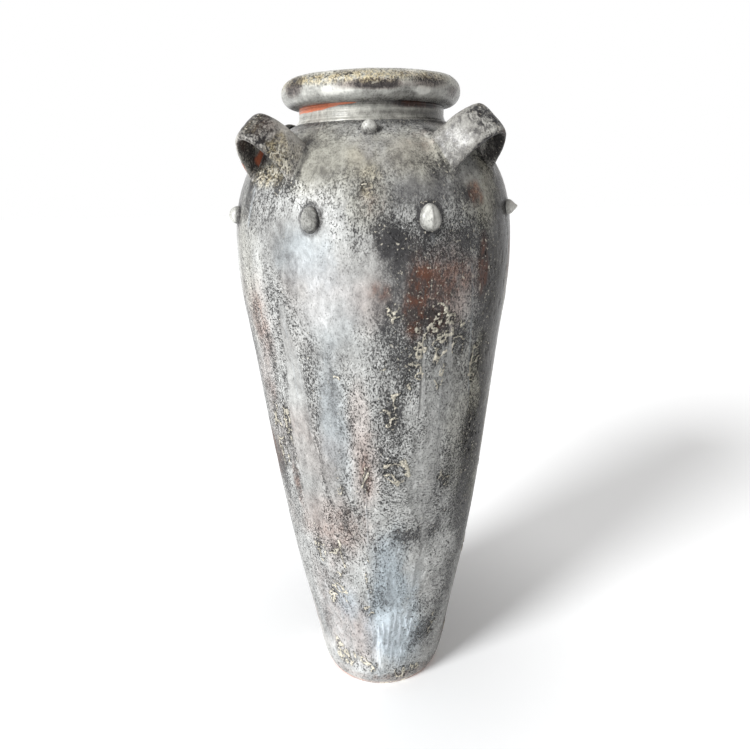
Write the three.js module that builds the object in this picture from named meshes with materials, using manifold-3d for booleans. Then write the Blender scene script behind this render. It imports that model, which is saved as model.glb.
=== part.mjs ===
// Tall ceramic vase: thrown sections luted on top of each other, a short neck with a rolled rim,
// four pulled strap handles on the shoulder and two rows of round studs.
// Millimetres, +Z up, origin at the middle of the underside. The front is -Y, and an azimuth
// is counted from the front, positive towards +X.

import * as THREE from 'three';
import { ParametricGeometry } from 'three/addons/geometries/ParametricGeometry.js';
import { mergeVertices } from 'three/addons/utils/BufferGeometryUtils.js';
import Module from 'manifold-3d';

const wasm = await Module();
wasm.setup();

// Driving dimensions of the body
const HEIGHT = 1000;
const FOOT_RADIUS = 101;
const BELLY_RADIUS = 212.5;
const BELLY_HEIGHT = 760;
const WALL = 12;
const GAP = 0.3;
const LAP = 14;
const FOOT_EDGE = 3;
const ROUND_STEPS = 40;

// Heights where one thrown section stands on the next; the shoulder stands on the belly at its widest
const SLAB_TOP = 16;
const LOWER_JOINT = 330;
const MIDDLE_JOINT = 620;
const SHOULDER_TOP = 936;

// Faces along the outside of each section; the inside has a few less
const SLAB_STEPS = 3;
const LOWER_STEPS = 6;
const MIDDLE_STEPS = 5;
const BELLY_STEPS = 4;
const SHOULDER_STEPS = 11;
const SHOULDER_INSIDE_STEPS = 9;

// Neck and rim
const NECK_RADIUS = 108;
const NECK_BORE = 95;
const NECK_FOOT_RADIUS = 112;
const NECK_FOOT_HEIGHT = 5;
const NECK_TOP = 966;
const SPIGOT_DEPTH = 10;
const SPIGOT_RADIUS = 100;
const RIM_RADIUS = 112;
const RIM_ROLL = 21;
const RIM_STEPS = 18;

// Pulled strap handles. Each was pulled by hand, so the two in front differ a little;
// each one behind repeats the one in front that it stands opposite. Tilts are in degrees.
const LEFT_PULL = {
  rootHeight: 881,
  halfSpan: 40,
  rise: 62,
  riseTilt: 48,
  rootWidth: 53,
  crownWidth: 48,
  roundness: 1.84,
};
const RIGHT_PULL = {
  rootHeight: 890,
  halfSpan: 39,
  rise: 60,
  riseTilt: 43.5,
  rootWidth: 58,
  crownWidth: 55,
  roundness: 1.75,
};
const HANDLES = {
  handle_front_left: { azimuth: -45, pull: LEFT_PULL },
  handle_front_right: { azimuth: 45, pull: RIGHT_PULL },
  handle_back_right: { azimuth: 135, pull: LEFT_PULL },
  handle_back_left: { azimuth: -135, pull: RIGHT_PULL },
};
const HANDLE_ROOT_TILT = 37.5;
const HANDLE_CROWN_TILT = 46.5;
const HANDLE_THICKNESS = 12.5;
const HANDLE_ROOT_DEPTH = 20;
const HANDLE_ROOT_THICKENING = 0.5;
const HANDLE_ROOT_WIDENING = 0.12;
const HANDLE_ROOT_SHORTNESS = 6;
const HANDLE_EDGE_POWER = 0.55;
const HANDLE_FACE_POWER = 0.9;
const HANDLE_STEPS = 26;
const HANDLE_SIDES = 14;

// Studs pressed on by hand, each a little different, with half sizes across, outwards and along the wall
const STUDS = {
  upper_stud_front: { azimuth: -1, height: 922, halfSize: [12.4, 14, 11] },
  upper_stud_right: { azimuth: 90, height: 922, halfSize: [12, 13, 11.5] },
  upper_stud_back: { azimuth: 180, height: 922, halfSize: [12.5, 13.5, 11] },
  upper_stud_left: { azimuth: -90, height: 922, halfSize: [12, 13.5, 11] },
  lower_stud_front_left: { azimuth: -22.6, height: 811, halfSize: [13.2, 13, 18] },
  lower_stud_front_right: { azimuth: 20.2, height: 811, halfSize: [15.2, 13, 18] },
  lower_stud_right_front: { azimuth: 68.5, height: 816, halfSize: [12.5, 15.5, 11.5] },
  lower_stud_right_back: { azimuth: 112, height: 811, halfSize: [14, 13, 17] },
  lower_stud_back_right: { azimuth: 158, height: 813, halfSize: [13.5, 13, 18.5] },
  lower_stud_back_left: { azimuth: -157, height: 811, halfSize: [14.5, 13.5, 16.5] },
  lower_stud_left_back: { azimuth: -113, height: 810, halfSize: [13, 13.5, 17.5] },
  lower_stud_left_front: { azimuth: -70.5, height: 812, halfSize: [12.5, 14, 13.5] },
};
const STUD_SEGMENTS = 14;
const STUD_RINGS = 9;

// Outside of the body from the foot to the neck, as radius and height
const OUTLINE = new THREE.SplineCurve([
  new THREE.Vector2(FOOT_RADIUS, 0),
  new THREE.Vector2(110.5, 24),
  new THREE.Vector2(124.5, 100),
  new THREE.Vector2(152.5, 250),
  new THREE.Vector2(177.5, 430),
  new THREE.Vector2(197, 600),
  new THREE.Vector2(209, 690),
  new THREE.Vector2(BELLY_RADIUS, BELLY_HEIGHT),
  new THREE.Vector2(207, 820),
  new THREE.Vector2(190, 868),
  new THREE.Vector2(165, 902),
  new THREE.Vector2(137, 924),
  new THREE.Vector2(NECK_FOOT_RADIUS + 1, SHOULDER_TOP),
]);

// Curve parameter at a height; the outline rises all the way
function parameterAt(height) {
  let low = 0;
  let high = 1;
  for (let i = 0; i < 40; i += 1) {
    const middle = (low + high) / 2;
    if (OUTLINE.getPoint(middle).y < height) low = middle;
    else high = middle;
  }
  return (low + high) / 2;
}

function radiusAt(height) {
  return OUTLINE.getPoint(parameterAt(height)).x;
}

// Points along the outline, each moved along its outward normal by an offset
function wallLine(lowHeight, highHeight, steps, offset) {
  const start = parameterAt(lowHeight);
  const end = parameterAt(highHeight);
  const line = [];
  for (let i = 0; i <= steps; i += 1) {
    const t = THREE.MathUtils.lerp(start, end, i / steps);
    const tangent = OUTLINE.getTangent(t);
    const normal = new THREE.Vector2(tangent.y, -tangent.x);
    line.push(OUTLINE.getPoint(t).addScaledVector(normal, offset));
  }
  return line;
}

function point(radius, height) {
  return new THREE.Vector2(radius, height);
}

// Turned solid about +Z from a profile that runs up the outside and down the inside
function turned(profile, segments = ROUND_STEPS) {
  const geometry = new THREE.LatheGeometry([...profile, profile[0].clone()], segments);
  geometry.rotateX(Math.PI / 2);
  return geometry;
}

// Geometry with shared vertices, no collapsed faces, and its faces turned outwards
function closed(geometry) {
  geometry.deleteAttribute('normal');
  geometry.deleteAttribute('uv');
  const merged = mergeVertices(geometry, 1e-3);
  const source = merged.index.array;
  const place = merged.attributes.position;
  const kept = [];
  const a = new THREE.Vector3();
  const b = new THREE.Vector3();
  const c = new THREE.Vector3();
  let volume = 0;
  for (let i = 0; i < source.length; i += 3) {
    const face = [source[i], source[i + 1], source[i + 2]];
    if (new Set(face).size < 3) continue;
    kept.push(...face);
    a.fromBufferAttribute(place, face[0]);
    b.fromBufferAttribute(place, face[1]);
    c.fromBufferAttribute(place, face[2]);
    volume += a.dot(b.cross(c));
  }
  merged.setIndex(volume < 0 ? kept.reverse() : kept);
  return merged;
}

function solidOf(geometry) {
  const shape = closed(geometry);
  return new wasm.Manifold(new wasm.Mesh({
    numProp: 3,
    vertProperties: new Float32Array(shape.attributes.position.array),
    triVerts: new Uint32Array(shape.index.array),
  }));
}

function geometryOf(solid) {
  const mesh = solid.getMesh();
  const geometry = new THREE.BufferGeometry();
  geometry.setAttribute('position', new THREE.BufferAttribute(new Float32Array(mesh.vertProperties), 3));
  geometry.setIndex(new THREE.BufferAttribute(new Uint32Array(mesh.triVerts), 1));
  geometry.computeVertexNormals();
  return geometry;
}

// Thick round base with a raised middle that locates the wall standing on its edge
function baseSlab() {
  const edge = radiusAt(SLAB_TOP);
  const boss = edge - WALL - GAP;
  return turned([
    point(0, 0),
    point(FOOT_RADIUS - FOOT_EDGE, 0),
    ...wallLine(FOOT_EDGE, SLAB_TOP, SLAB_STEPS, 0),
    point(boss, SLAB_TOP),
    point(boss, SLAB_TOP + LAP / 2),
    point(0, SLAB_TOP + LAP / 2),
  ]);
}

// Lap joint at the top of a section: its inner half stands up as a tongue
function tongue(height) {
  const middle = radiusAt(height) - WALL / 2;
  return [point(middle, height), point(middle, height + LAP)];
}

// Lap joint at the foot of a section: its outer half comes down round the tongue
function socket(height) {
  const middle = radiusAt(height) - WALL / 2;
  return [point(middle + GAP, height + LAP + GAP), point(middle + GAP, height + GAP)];
}

function lowerBody() {
  const inside = wallLine(SLAB_TOP + GAP, LOWER_JOINT + LAP, LOWER_STEPS - 1, -WALL).reverse();
  return turned([
    ...wallLine(SLAB_TOP + GAP, LOWER_JOINT, LOWER_STEPS, 0),
    ...tongue(LOWER_JOINT),
    point(inside[0].x, LOWER_JOINT + LAP),
    ...inside.slice(1, -1),
    point(inside.at(-1).x, SLAB_TOP + GAP),
  ]);
}

// Wall section with a lap joint at both ends
function ring(low, high, steps) {
  const inside = wallLine(low + LAP + GAP, high + LAP, steps - 1, -WALL).reverse();
  return turned([
    ...wallLine(low + GAP, high, steps, 0),
    ...tongue(high),
    point(inside[0].x, high + LAP),
    ...inside.slice(1, -1),
    point(inside.at(-1).x, low + LAP + GAP),
    ...socket(low),
  ]);
}

// Top section, closing in from the belly to the hole that the neck stands in
function shoulder() {
  const hole = SPIGOT_RADIUS + GAP;
  const foot = BELLY_HEIGHT + LAP + GAP;
  const inside = wallLine(foot, SHOULDER_TOP, SHOULDER_INSIDE_STEPS, -WALL).reverse();
  return turned([
    ...wallLine(BELLY_HEIGHT + GAP, SHOULDER_TOP, SHOULDER_STEPS, 0),
    point(hole, SHOULDER_TOP),
    point(hole, inside[0].y),
    ...inside.slice(0, -1),
    point(inside.at(-1).x, foot),
    ...socket(BELLY_HEIGHT),
  ]);
}

// Short neck: a foot on the shoulder, a spigot down into its hole, a flat top for the rim
function neckCollar() {
  const seat = SHOULDER_TOP + GAP;
  return turned([
    point(NECK_BORE, seat - SPIGOT_DEPTH),
    point(SPIGOT_RADIUS, seat - SPIGOT_DEPTH),
    point(SPIGOT_RADIUS, seat),
    point(NECK_FOOT_RADIUS, seat),
    point(NECK_RADIUS, seat + NECK_FOOT_HEIGHT),
    point(NECK_RADIUS, NECK_TOP),
    point(NECK_BORE, NECK_TOP),
  ]);
}

// Rolled rim: a thick round roll with its underside rebated to sit over the neck
function rimRoll() {
  const centre = HEIGHT - RIM_ROLL;
  const seat = NECK_TOP + GAP;
  const bore = NECK_RADIUS + GAP;
  const outer = Math.atan2(-Math.sqrt(RIM_ROLL ** 2 - (bore - RIM_RADIUS) ** 2), bore - RIM_RADIUS);
  const inner = Math.PI + Math.asin((centre - seat) / RIM_ROLL);
  const profile = [];
  for (let i = 0; i <= RIM_STEPS; i += 1) {
    const angle = THREE.MathUtils.lerp(outer, inner, i / RIM_STEPS);
    profile.push(point(RIM_RADIUS + RIM_ROLL * Math.cos(angle), centre + RIM_ROLL * Math.sin(angle)));
  }
  profile.push(point(bore, seat));
  return turned(profile);
}

// Shoulder filled solid and swollen by the gap, for trimming what is luted onto it
function fittingBody() {
  const segments = ROUND_STEPS * 2;
  const outside = wallLine(BELLY_HEIGHT, SHOULDER_TOP, SHOULDER_STEPS, GAP);
  const round = 1 / Math.cos(Math.PI / segments);
  const profile = outside.map((p) => point(p.x * round, p.y));
  return solidOf(turned([point(0, BELLY_HEIGHT), ...profile, point(0, SHOULDER_TOP + GAP)], segments));
}

// A power of a sine or cosine that keeps its sign, for rounded-off ellipses
function signedPower(value, power) {
  return Math.sign(value) * Math.abs(value) ** power;
}

// Strap of clay pulled into an arch across the front azimuth: v runs along it, u round its section
function strapPoint(pull, u, v, target) {
  const angle = (v * 2 - 1) * (Math.PI / 2);
  const sunk = v === 0 || v === 1;
  const across = pull.halfSpan * signedPower(Math.sin(angle), 2 / pull.roundness);
  const lift = Math.abs(Math.cos(angle)) ** (2 / pull.roundness);
  const rise = sunk ? -HANDLE_ROOT_DEPTH : pull.rise * lift;
  const riseTilt = THREE.MathUtils.degToRad(pull.riseTilt);
  const tilt = THREE.MathUtils.degToRad(THREE.MathUtils.lerp(HANDLE_ROOT_TILT, HANDLE_CROWN_TILT, lift));
  const rootRadius = Math.sqrt(radiusAt(pull.rootHeight) ** 2 - pull.halfSpan ** 2);
  const centre = new THREE.Vector3(
    across,
    -rootRadius - rise * Math.cos(riseTilt),
    pull.rootHeight + rise * Math.sin(riseTilt),
  );
  const broad = new THREE.Vector3(0, -Math.sin(tilt), -Math.cos(tilt));
  const lean = Math.atan2(Math.cos(angle) * pull.halfSpan, pull.rise * Math.sin(angle));
  const thin = new THREE.Vector3(Math.cos(lean), 0, 0);
  thin.addScaledVector(new THREE.Vector3(0, -Math.cos(tilt), Math.sin(tilt)), Math.sin(lean));
  const spread = (1 - lift) ** HANDLE_ROOT_SHORTNESS;
  const pulled = THREE.MathUtils.lerp(pull.rootWidth, pull.crownWidth, lift);
  const width = pulled * (1 + HANDLE_ROOT_WIDENING * spread);
  const thickness = HANDLE_THICKNESS * (1 + HANDLE_ROOT_THICKENING * spread);
  const turn = u * Math.PI * 2;
  target.copy(centre);
  if (sunk) return;
  target.addScaledVector(broad, (width / 2) * signedPower(Math.cos(turn), HANDLE_EDGE_POWER));
  target.addScaledVector(thin, (thickness / 2) * signedPower(Math.sin(turn), HANDLE_FACE_POWER));
}

function handle(pull, fitting) {
  const strap = new ParametricGeometry(strapPoint.bind(null, pull), HANDLE_SIDES, HANDLE_STEPS);
  return geometryOf(solidOf(strap).subtract(fitting));
}

// Round stud pressed on at a height, stretched to its half sizes
function stud(height, halfSize, fitting) {
  const tangent = OUTLINE.getTangent(parameterAt(height));
  const bead = new THREE.SphereGeometry(1, STUD_SEGMENTS, STUD_RINGS);
  bead.scale(...halfSize);
  bead.rotateX(Math.atan2(tangent.x, tangent.y));
  bead.translate(0, -radiusAt(height), height);
  return geometryOf(solidOf(bead).subtract(fitting));
}

function finish(colour, roughness) {
  return new THREE.MeshStandardMaterial({ color: colour, roughness, metalness: 0 });
}

const vase = new THREE.Group();

function add(name, geometry, material, azimuth = 0) {
  const mesh = new THREE.Mesh(geometry, material);
  mesh.name = name;
  mesh.rotation.z = THREE.MathUtils.degToRad(azimuth);
  vase.add(mesh);
}

add('base_slab', closed(baseSlab()), finish(0x8a5a44, 0.85));
add('lower_body', closed(lowerBody()), finish(0x7c7a78, 0.6));
add('middle_body', closed(ring(LOWER_JOINT, MIDDLE_JOINT, MIDDLE_STEPS)), finish(0x807f7c, 0.6));
add('belly', closed(ring(MIDDLE_JOINT, BELLY_HEIGHT, BELLY_STEPS)), finish(0x7b7a76, 0.55));
add('shoulder', closed(shoulder()), finish(0x777672, 0.55));
add('neck_collar', closed(neckCollar()), finish(0x6f6d69, 0.6));
add('rim_roll', closed(rimRoll()), finish(0x77736a, 0.5));

const fitting = fittingBody();
for (const [name, { azimuth, pull }] of Object.entries(HANDLES)) {
  add(name, handle(pull, fitting), finish(0x7d7b77, 0.5), azimuth);
}
for (const [name, { azimuth, height, halfSize }] of Object.entries(STUDS)) {
  add(name, stud(height, halfSize, fitting), finish(0x8f8e88, 0.5), azimuth);
}

export default vase;
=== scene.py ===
# Tall ceramic vase in its weathered grey finish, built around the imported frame.
# Metres, +Z up, the front is -Y. An azimuth is counted from the front in degrees, positive towards +X.

import math
import random
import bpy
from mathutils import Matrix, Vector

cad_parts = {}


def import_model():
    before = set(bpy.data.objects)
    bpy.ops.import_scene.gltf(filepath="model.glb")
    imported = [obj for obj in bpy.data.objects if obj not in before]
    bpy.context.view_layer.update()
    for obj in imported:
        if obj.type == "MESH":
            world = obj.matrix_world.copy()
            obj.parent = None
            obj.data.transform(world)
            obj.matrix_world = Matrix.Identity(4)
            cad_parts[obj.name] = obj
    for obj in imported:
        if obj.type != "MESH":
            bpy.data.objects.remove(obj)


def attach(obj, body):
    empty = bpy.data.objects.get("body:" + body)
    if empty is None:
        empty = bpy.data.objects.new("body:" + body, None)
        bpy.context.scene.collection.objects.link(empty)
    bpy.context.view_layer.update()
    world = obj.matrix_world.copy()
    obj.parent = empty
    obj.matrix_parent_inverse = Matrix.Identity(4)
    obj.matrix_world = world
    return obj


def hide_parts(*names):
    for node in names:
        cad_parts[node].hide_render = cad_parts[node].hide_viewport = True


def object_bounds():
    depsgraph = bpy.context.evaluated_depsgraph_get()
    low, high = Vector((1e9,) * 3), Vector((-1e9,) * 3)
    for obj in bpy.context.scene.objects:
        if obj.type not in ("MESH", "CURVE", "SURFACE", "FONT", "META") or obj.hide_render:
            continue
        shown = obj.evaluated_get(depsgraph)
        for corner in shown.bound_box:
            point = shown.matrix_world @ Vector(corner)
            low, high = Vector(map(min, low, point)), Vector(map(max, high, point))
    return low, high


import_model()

from types import SimpleNamespace

import bpy
import numpy as np
from mathutils import Vector

CAD_BOX = [list(corner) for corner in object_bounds()]
MM = 0.001

# Camera: the photograph's place, tilt, roll and focal length
CAMERA_DISTANCE = 1.0084
CAMERA_HEIGHT = 0.865
CAMERA_PITCH = 16.12
CAMERA_ROLL = -1.21
FOCAL_PIXELS = 628.4
PICTURE_SIDE = 750
PRINCIPAL_POINT = (376.4, 356.0)
SENSOR = 36.0

# Floor: seen brighter than it is lit, less near the foot, where this leaves a painted contact shadow, and
# more far from it
FLOOR_SIDE = 14.0
FLOOR_LIFT = (0.08, 0.32)
FOOT_SHADOW_REACH = (0.10, 0.60)

# Body, as in the part: radius and height along the outside
OUTLINE = np.array([
    (101, 0), (110.5, 24), (124.5, 100), (152.5, 250), (177.5, 430), (197, 600), (209, 690),
    (212.5, 760), (207, 820), (190, 868), (165, 902), (137, 924), (113, 936),
]) * MM
OUTLINE_STEPS = 2400
WALL = 12 * MM
HOLE_RADIUS = 100 * MM
HOLE_BEVEL = 6 * MM
FLOOR_TOP = 23 * MM
FOOT_EDGE = 97 * MM
LARGEST_RADIUS = CAD_BOX[1][0] - 0.05 * MM
ROUND_STEPS = 760
BODY_ROWS = 720
INSIDE_SPARSENESS = 6
FLAT_ROWS = 8
AXIS_GAP = 4 * MM

# Neck and rim
NECK_RADIUS = 108 * MM
NECK_BORE = 95 * MM
NECK_BASE = 932 * MM
NECK_TOP = 966 * MM
NECK_ROWS = 110
RIM_RADIUS = 112 * MM
RIM_ROLL = 21 * MM
RIM_ROWS = 130

# Handles
LEFT_PULL = {
    "root_height": 881 * MM, "half_span": 40 * MM, "rise": 62 * MM, "rise_tilt": math.radians(48),
    "root_width": 53 * MM, "crown_width": 48 * MM, "roundness": 1.84,
}
RIGHT_PULL = {
    "root_height": 890 * MM, "half_span": 39 * MM, "rise": 60 * MM, "rise_tilt": math.radians(43.5),
    "root_width": 58 * MM, "crown_width": 55 * MM, "roundness": 1.75,
}
HANDLES = {
    "handle_front_left": (-45, LEFT_PULL),
    "handle_front_right": (45, RIGHT_PULL),
    "handle_back_right": (135, LEFT_PULL),
    "handle_back_left": (-135, RIGHT_PULL),
}
HANDLE_ROOT_TILT = math.radians(37.5)
HANDLE_CROWN_TILT = math.radians(46.5)
HANDLE_THICKNESS = 12.5 * MM
ROOT_DEPTHS = np.linspace(16, 1.5, 12)[:, None] * MM
STRAP_STEPS = 181
STRAP_SIDES = 96

# What the photograph shows on each strap: its tone all over, then marks as the share of its length
# (-1 and 1 at its legs), the angle round its section (0 the lower edge, 90 the outer face,
# 270 the inner face), half length, half angle and strength
LEFT_LOOK = {
    "cover": 0.6,
    "all_over": {"smooth": 0.4, "pits": 0.8, "olive": 0.35, "warm": 0.25},
    # Tone marks at 270 degrees, on the inner face that turns to the wall, are painted shade.
    "tone": [
        (-0.45, 30, 0.45, 40, 0.16), (0.2, 100, 0.4, 46, -0.1), (-0.35, 120, 0.25, 40, -0.02),
        (-0.6, 270, 0.6, 80, -0.34), (0.5, 270, 0.5, 80, -0.34), (0.8, 140, 0.25, 50, 0.12),
        (0.1, 170, 0.5, 20, 0.14), (0.35, 15, 0.5, 18, -0.2),
    ],
    "pits": [(0.15, 100, 0.5, 70, 0.6)],
    "cracks": [(0.15, 100, 0.5, 60, 1), (0.7, 40, 0.3, 60, 0.7)],
    "straw": [(0.15, 90, 0.3, 40, 0.16), (0.86, 60, 0.14, 50, 0.6)],
    "rust": [(0.45, 120, 0.3, 50, 0.18), (-0.3, 300, 0.5, 60, 0.4)],
    "crust": [(0.92, 50, 0.12, 70, 0.9), (0.4, 60, 0.3, 60, 0.25)],
    "clay": [(-0.985, 264, 0.05, 14, 1.4), (-0.92, 10, 0.05, 24, 0.9)],
    "smooth": [(-0.5, 30, 0.5, 40, 0.5), (0.8, 140, 0.3, 50, 0.5), (0.15, 100, 0.4, 50, -0.35)],
}
RIGHT_LOOK = {
    "cover": 0.5,
    "all_over": {"smooth": 0.5, "pits": 0.5, "olive": 0.35, "warm": 0.1},
    # Tone marks at 270 degrees, on the inner face that turns to the wall, are painted shade.
    "tone": [
        (-0.78, 95, 0.35, 60, 0.12), (0.08, 112, 0.36, 46, -0.26), (-0.45, 8, 0.5, 20, -0.18),
        (0.45, 130, 0.2, 40, -0.2), (0.4, 10, 0.5, 30, -0.3), (0.5, 270, 0.7, 90, -0.34),
        (-0.5, 270, 0.5, 80, -0.3), (-0.2, 150, 0.3, 30, 0.12), (-0.35, 60, 0.2, 30, 0.14),
        (-0.95, 60, 0.1, 80, -0.1),
    ],
    "pits": [(0.05, 110, 0.45, 60, 0.8), (0.5, 90, 0.4, 60, 0.5)],
    "cracks": [(0, 105, 0.7, 60, 1), (0.5, 60, 0.5, 50, 0.7), (-0.5, 10, 0.3, 20, 0.5)],
    "straw": [(0, 150, 0.4, 50, 0.25)],
    "rust": [(0.25, 20, 0.5, 30, 0.55)],
    "crust": [(0.1, 100, 0.4, 60, 0.5)],
    "smooth": [(-0.78, 90, 0.35, 80, 0.45), (0.05, 110, 0.45, 60, -0.4)],
}

# Studs, as in the part: azimuth, height, half sizes across, outwards and along the wall, then paint cover
STUDS = {
    "upper_stud_front": (-1, 922, (12.4, 14, 11), 0.74),
    "upper_stud_right": (90, 922, (12, 13, 11.5), 0.66),
    "upper_stud_back": (180, 922, (12.5, 13.5, 11), 0.70),
    "upper_stud_left": (-90, 922, (12, 13.5, 11), 0.62),
    "lower_stud_front_left": (-22.6, 811, (13.2, 13, 18), 0.58),
    "lower_stud_front_right": (20.2, 811, (15.2, 13, 18), 0.76),
    "lower_stud_right_front": (68.5, 816, (12.5, 15.5, 11.5), 0.92),
    "lower_stud_right_back": (112, 811, (14, 13, 17), 0.56),
    "lower_stud_back_right": (158, 813, (13.5, 13, 18.5), 0.72),
    "lower_stud_back_left": (-157, 811, (14.5, 13.5, 16.5), 0.58),
    "lower_stud_left_back": (-113, 810, (13, 13.5, 17.5), 0.56),
    "lower_stud_left_front": (-70.5, 812, (12.5, 14, 13.5), 0.80),
}
POINTED_STUDS = ("lower_stud_right_front", "lower_stud_back_right")
STUD_RINGS = 56
STUD_SIDES = 72

# Paint: how much of it the body has before any mark, and where worn paint turns into full paint
BASE_COVER = 0.565
FULL_COVER = 0.56
CRUST_SEED = 55

# Marks on the surface, each as azimuth in degrees, then height, half width and half height
# in millimetres, and strength. The front ones follow the photograph.
# Pale patches: those on the upper left belly and down its left edge are painted highlight, the rest pale
# paint.
PALE_AND_HIGHLIGHT_PATCHES = [
    (-16, 728, 60, 84, 0.34), (-37, 600, 15, 62, 0.1), (-35, 500, 22, 90, 0.1),
    (21, 461, 24, 50, 0.25), (13, 388, 60, 44, 0.35), (15, 554, 9, 60, 0.3), (31, 537, 40, 46, 0.2),
    (24, 257, 30, 60, 0.25), (4, 282, 16, 60, 0.3), (-22, 187, 20, 34, 0.45),
    (-24, 110, 60, 100, 0.66), (26, 110, 40, 80, 0.22), (0, 300, 60, 60, 0.12),
    (-44, 250, 40, 90, 0.25), (-55, 740, 40, 70, 0.3), (-10, 690, 50, 40, 0.1),
    (-33, 330, 40, 70, 0.4), (36, 225, 40, 70, 0.3), (-10, 822, 44, 40, 0.06),
    (-60, 500, 30, 200, 0.25), (-40, 740, 26, 56, 0.3), (-50, 640, 22, 100, 0.34),
    (-33, 845, 26, 44, 0.3), (-8, 440, 24, 96, 0.27), (-12, 300, 32, 60, 0.25),
    (-15, 240, 40, 46, 0.26), (11, 165, 36, 38, 0.42), (24, 150, 20, 26, 0.32), (29, 900, 14, 20, 0.5),
    (5, 140, 34, 40, 0.52), (-17, 592, 28, 40, 0.28), (-7, 535, 14, 40, 0.28), (38, 280, 30, 50, 0.28),
    (-36, 185, 30, 34, 0.3),
]
# Dark patches: those down the right edge, from azimuth 54 to 66, are painted shade, the rest darker paint.
DARK_AND_SHADE_PATCHES = [
    (4, 790, 14, 30, 0.3), (10, 772, 24, 30, 0.42), (24, 782, 60, 22, 0.3), (40, 790, 44, 26, 0.3),
    (45, 730, 60, 60, 0.42), (-5, 840, 9, 44, 0.22), (-41, 730, 13, 66, 0.12), (46, 737, 9, 44, 0.8),
    (-59, 826, 14, 34, 0.3), (-39, 852, 9, 15, 0.8), (12, 605, 12, 40, 0.35), (26, 612, 8, 34, 0.45),
    (-7, 420, 12, 58, 0.1), (-62, 402, 16, 50, 0.45), (46, 207, 30, 54, 0.25), (6, 540, 12, 30, 0.25),
    (56, 380, 34, 140, 0.6), (58, 620, 36, 150, 0.45), (26, 700, 40, 40, 0.3), (62, 800, 40, 60, 0.6),
    (66, 700, 50, 240, 0.62), (10, 640, 30, 20, 0.2), (34, 655, 40, 26, 0.45), (26, 866, 14, 12, 0.5),
    (38, 838, 14, 12, 0.5), (10, 838, 18, 16, 0.25), (-30, 905, 26, 9, 0.25), (16, 880, 40, 10, 0.2),
    (-16, 868, 30, 9, 0.2), (-50, 600, 8, 60, 0.35), (20, 330, 50, 16, 0.35), (48, 470, 20, 50, 0.35),
    (6, 702, 32, 90, 0.54), (25, 842, 56, 24, 0.44), (-3, 852, 26, 18, 0.14), (54, 690, 34, 110, 0.3),
    (32, 120, 22, 30, 0.45), (8, 515, 14, 30, 0.36), (60, 525, 30, 90, 0.36), (-24, 250, 50, 12, 0.12),
    (0, 500, 14, 60, 0.12),
]
RUST_PATCHES = [
    (14, 706, 17, 54, 1.2), (27, 734, 38, 30, 0.65), (45, 738, 11, 36, 0.9), (22, 681, 20, 24, 0.6),
    (3, 720, 22, 14, 0.35), (-55, 665, 30, 48, 0.3), (-47, 406, 9, 38, 0.45), (-6, 437, 10, 34, 0.5),
    (42, 836, 13, 14, 0.7), (-26, 343, 56, 50, 0.2), (-33, 150, 40, 90, 0.15),
    (-56, 554, 20, 18, 0.25), (10, 20, 90, 10, 0.35),
]
CRUST_PATCHES = [
    (6.5, 692, 11, 15, 1), (24.5, 681, 16, 20, 1), (17, 648, 9, 20, 1), (26, 613, 9, 34, 0.9),
    (35, 640, 12, 22, 0.9), (46, 598, 12, 28, 0.8), (56, 615, 10, 20, 0.5), (8, 451, 24, 32, 0.9),
    (-5.5, 437, 8, 27, 0.9), (-26.5, 357, 10, 12, 0.85), (-25, 283, 14, 38, 0.9),
    (-9, 181, 12, 14, 0.9), (-39, 88, 10, 15, 0.7), (25, 30, 27, 14, 0.8), (-60, 559, 14, 14, 0.7),
    (-47, 517, 9, 34, 0.75), (-54, 446, 14, 30, 0.65), (-45, 869, 26, 16, 0.8), (7.5, 566, 14, 9, 0.7),
    (-3, 850, 5, 7, 0.9), (-12, 52, 20, 22, 0.65), (2, 618, 16, 10, 0.6), (-14, 600, 20, 8, 0.5),
    (28, 668, 30, 26, 0.8), (20, 665, 24, 22, 0.6), (-56, 500, 14, 60, 0.7), (-38, 300, 16, 40, 0.6),
    (-30, 60, 30, 26, 0.6), (-8, 250, 10, 60, 0.45), (40, 120, 20, 40, 0.5), (34, 420, 26, 40, 0.45),
    (-28, 200, 24, 40, 0.5), (14, 600, 16, 30, 0.5), (-20, 420, 12, 30, 0.4), (5, 540, 14, 26, 0.6),
]
SMOOTH_PATCHES = [
    (-24, 893, 60, 34, 0.85), (14, 897, 60, 22, 0.75), (-48, 752, 60, 50, 0.55),
    (66, 720, 50, 180, 0.9), (-30, 800, 50, 36, 0.55), (42, 850, 40, 26, 0.7), (-19, 520, 20, 90, 0.6),
    (-70, 780, 40, 120, 0.5), (72, 560, 50, 220, 0.7), (22, 850, 40, 20, 0.5), (5, 120, 22, 60, 0.6),
    (-16, 712, 66, 66, 0.78), (4, 736, 40, 50, 0.45), (-28, 775, 50, 40, 0.6),
    (-14, 630, 44, 44, 0.45), (-28, 110, 50, 90, 0.3), (6, 850, 90, 40, 0.55),
]
PIT_PATCHES = [
    (8, 776, 18, 30, 0.8), (26, 782, 64, 34, 1), (0, 842, 40, 42, 0.25), (20, 640, 50, 60, 0.9),
    (26, 560, 50, 70, 0.8), (16, 430, 60, 90, 0.8), (-60, 460, 26, 110, 0.9), (44, 330, 40, 130, 0.8),
    (-20, 350, 50, 60, 0.4), (-50, 560, 12, 90, 0.6), (30, 230, 34, 70, 0.7), (-10, 560, 40, 60, 0.45),
    (-50, 720, 50, 80, 0.45), (40, 500, 40, 90, 0.8), (34, 130, 40, 60, 0.7), (-34, 160, 40, 90, 0.3),
    (54, 420, 44, 200, 0.6), (46, 700, 40, 90, 0.6),
]
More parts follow.
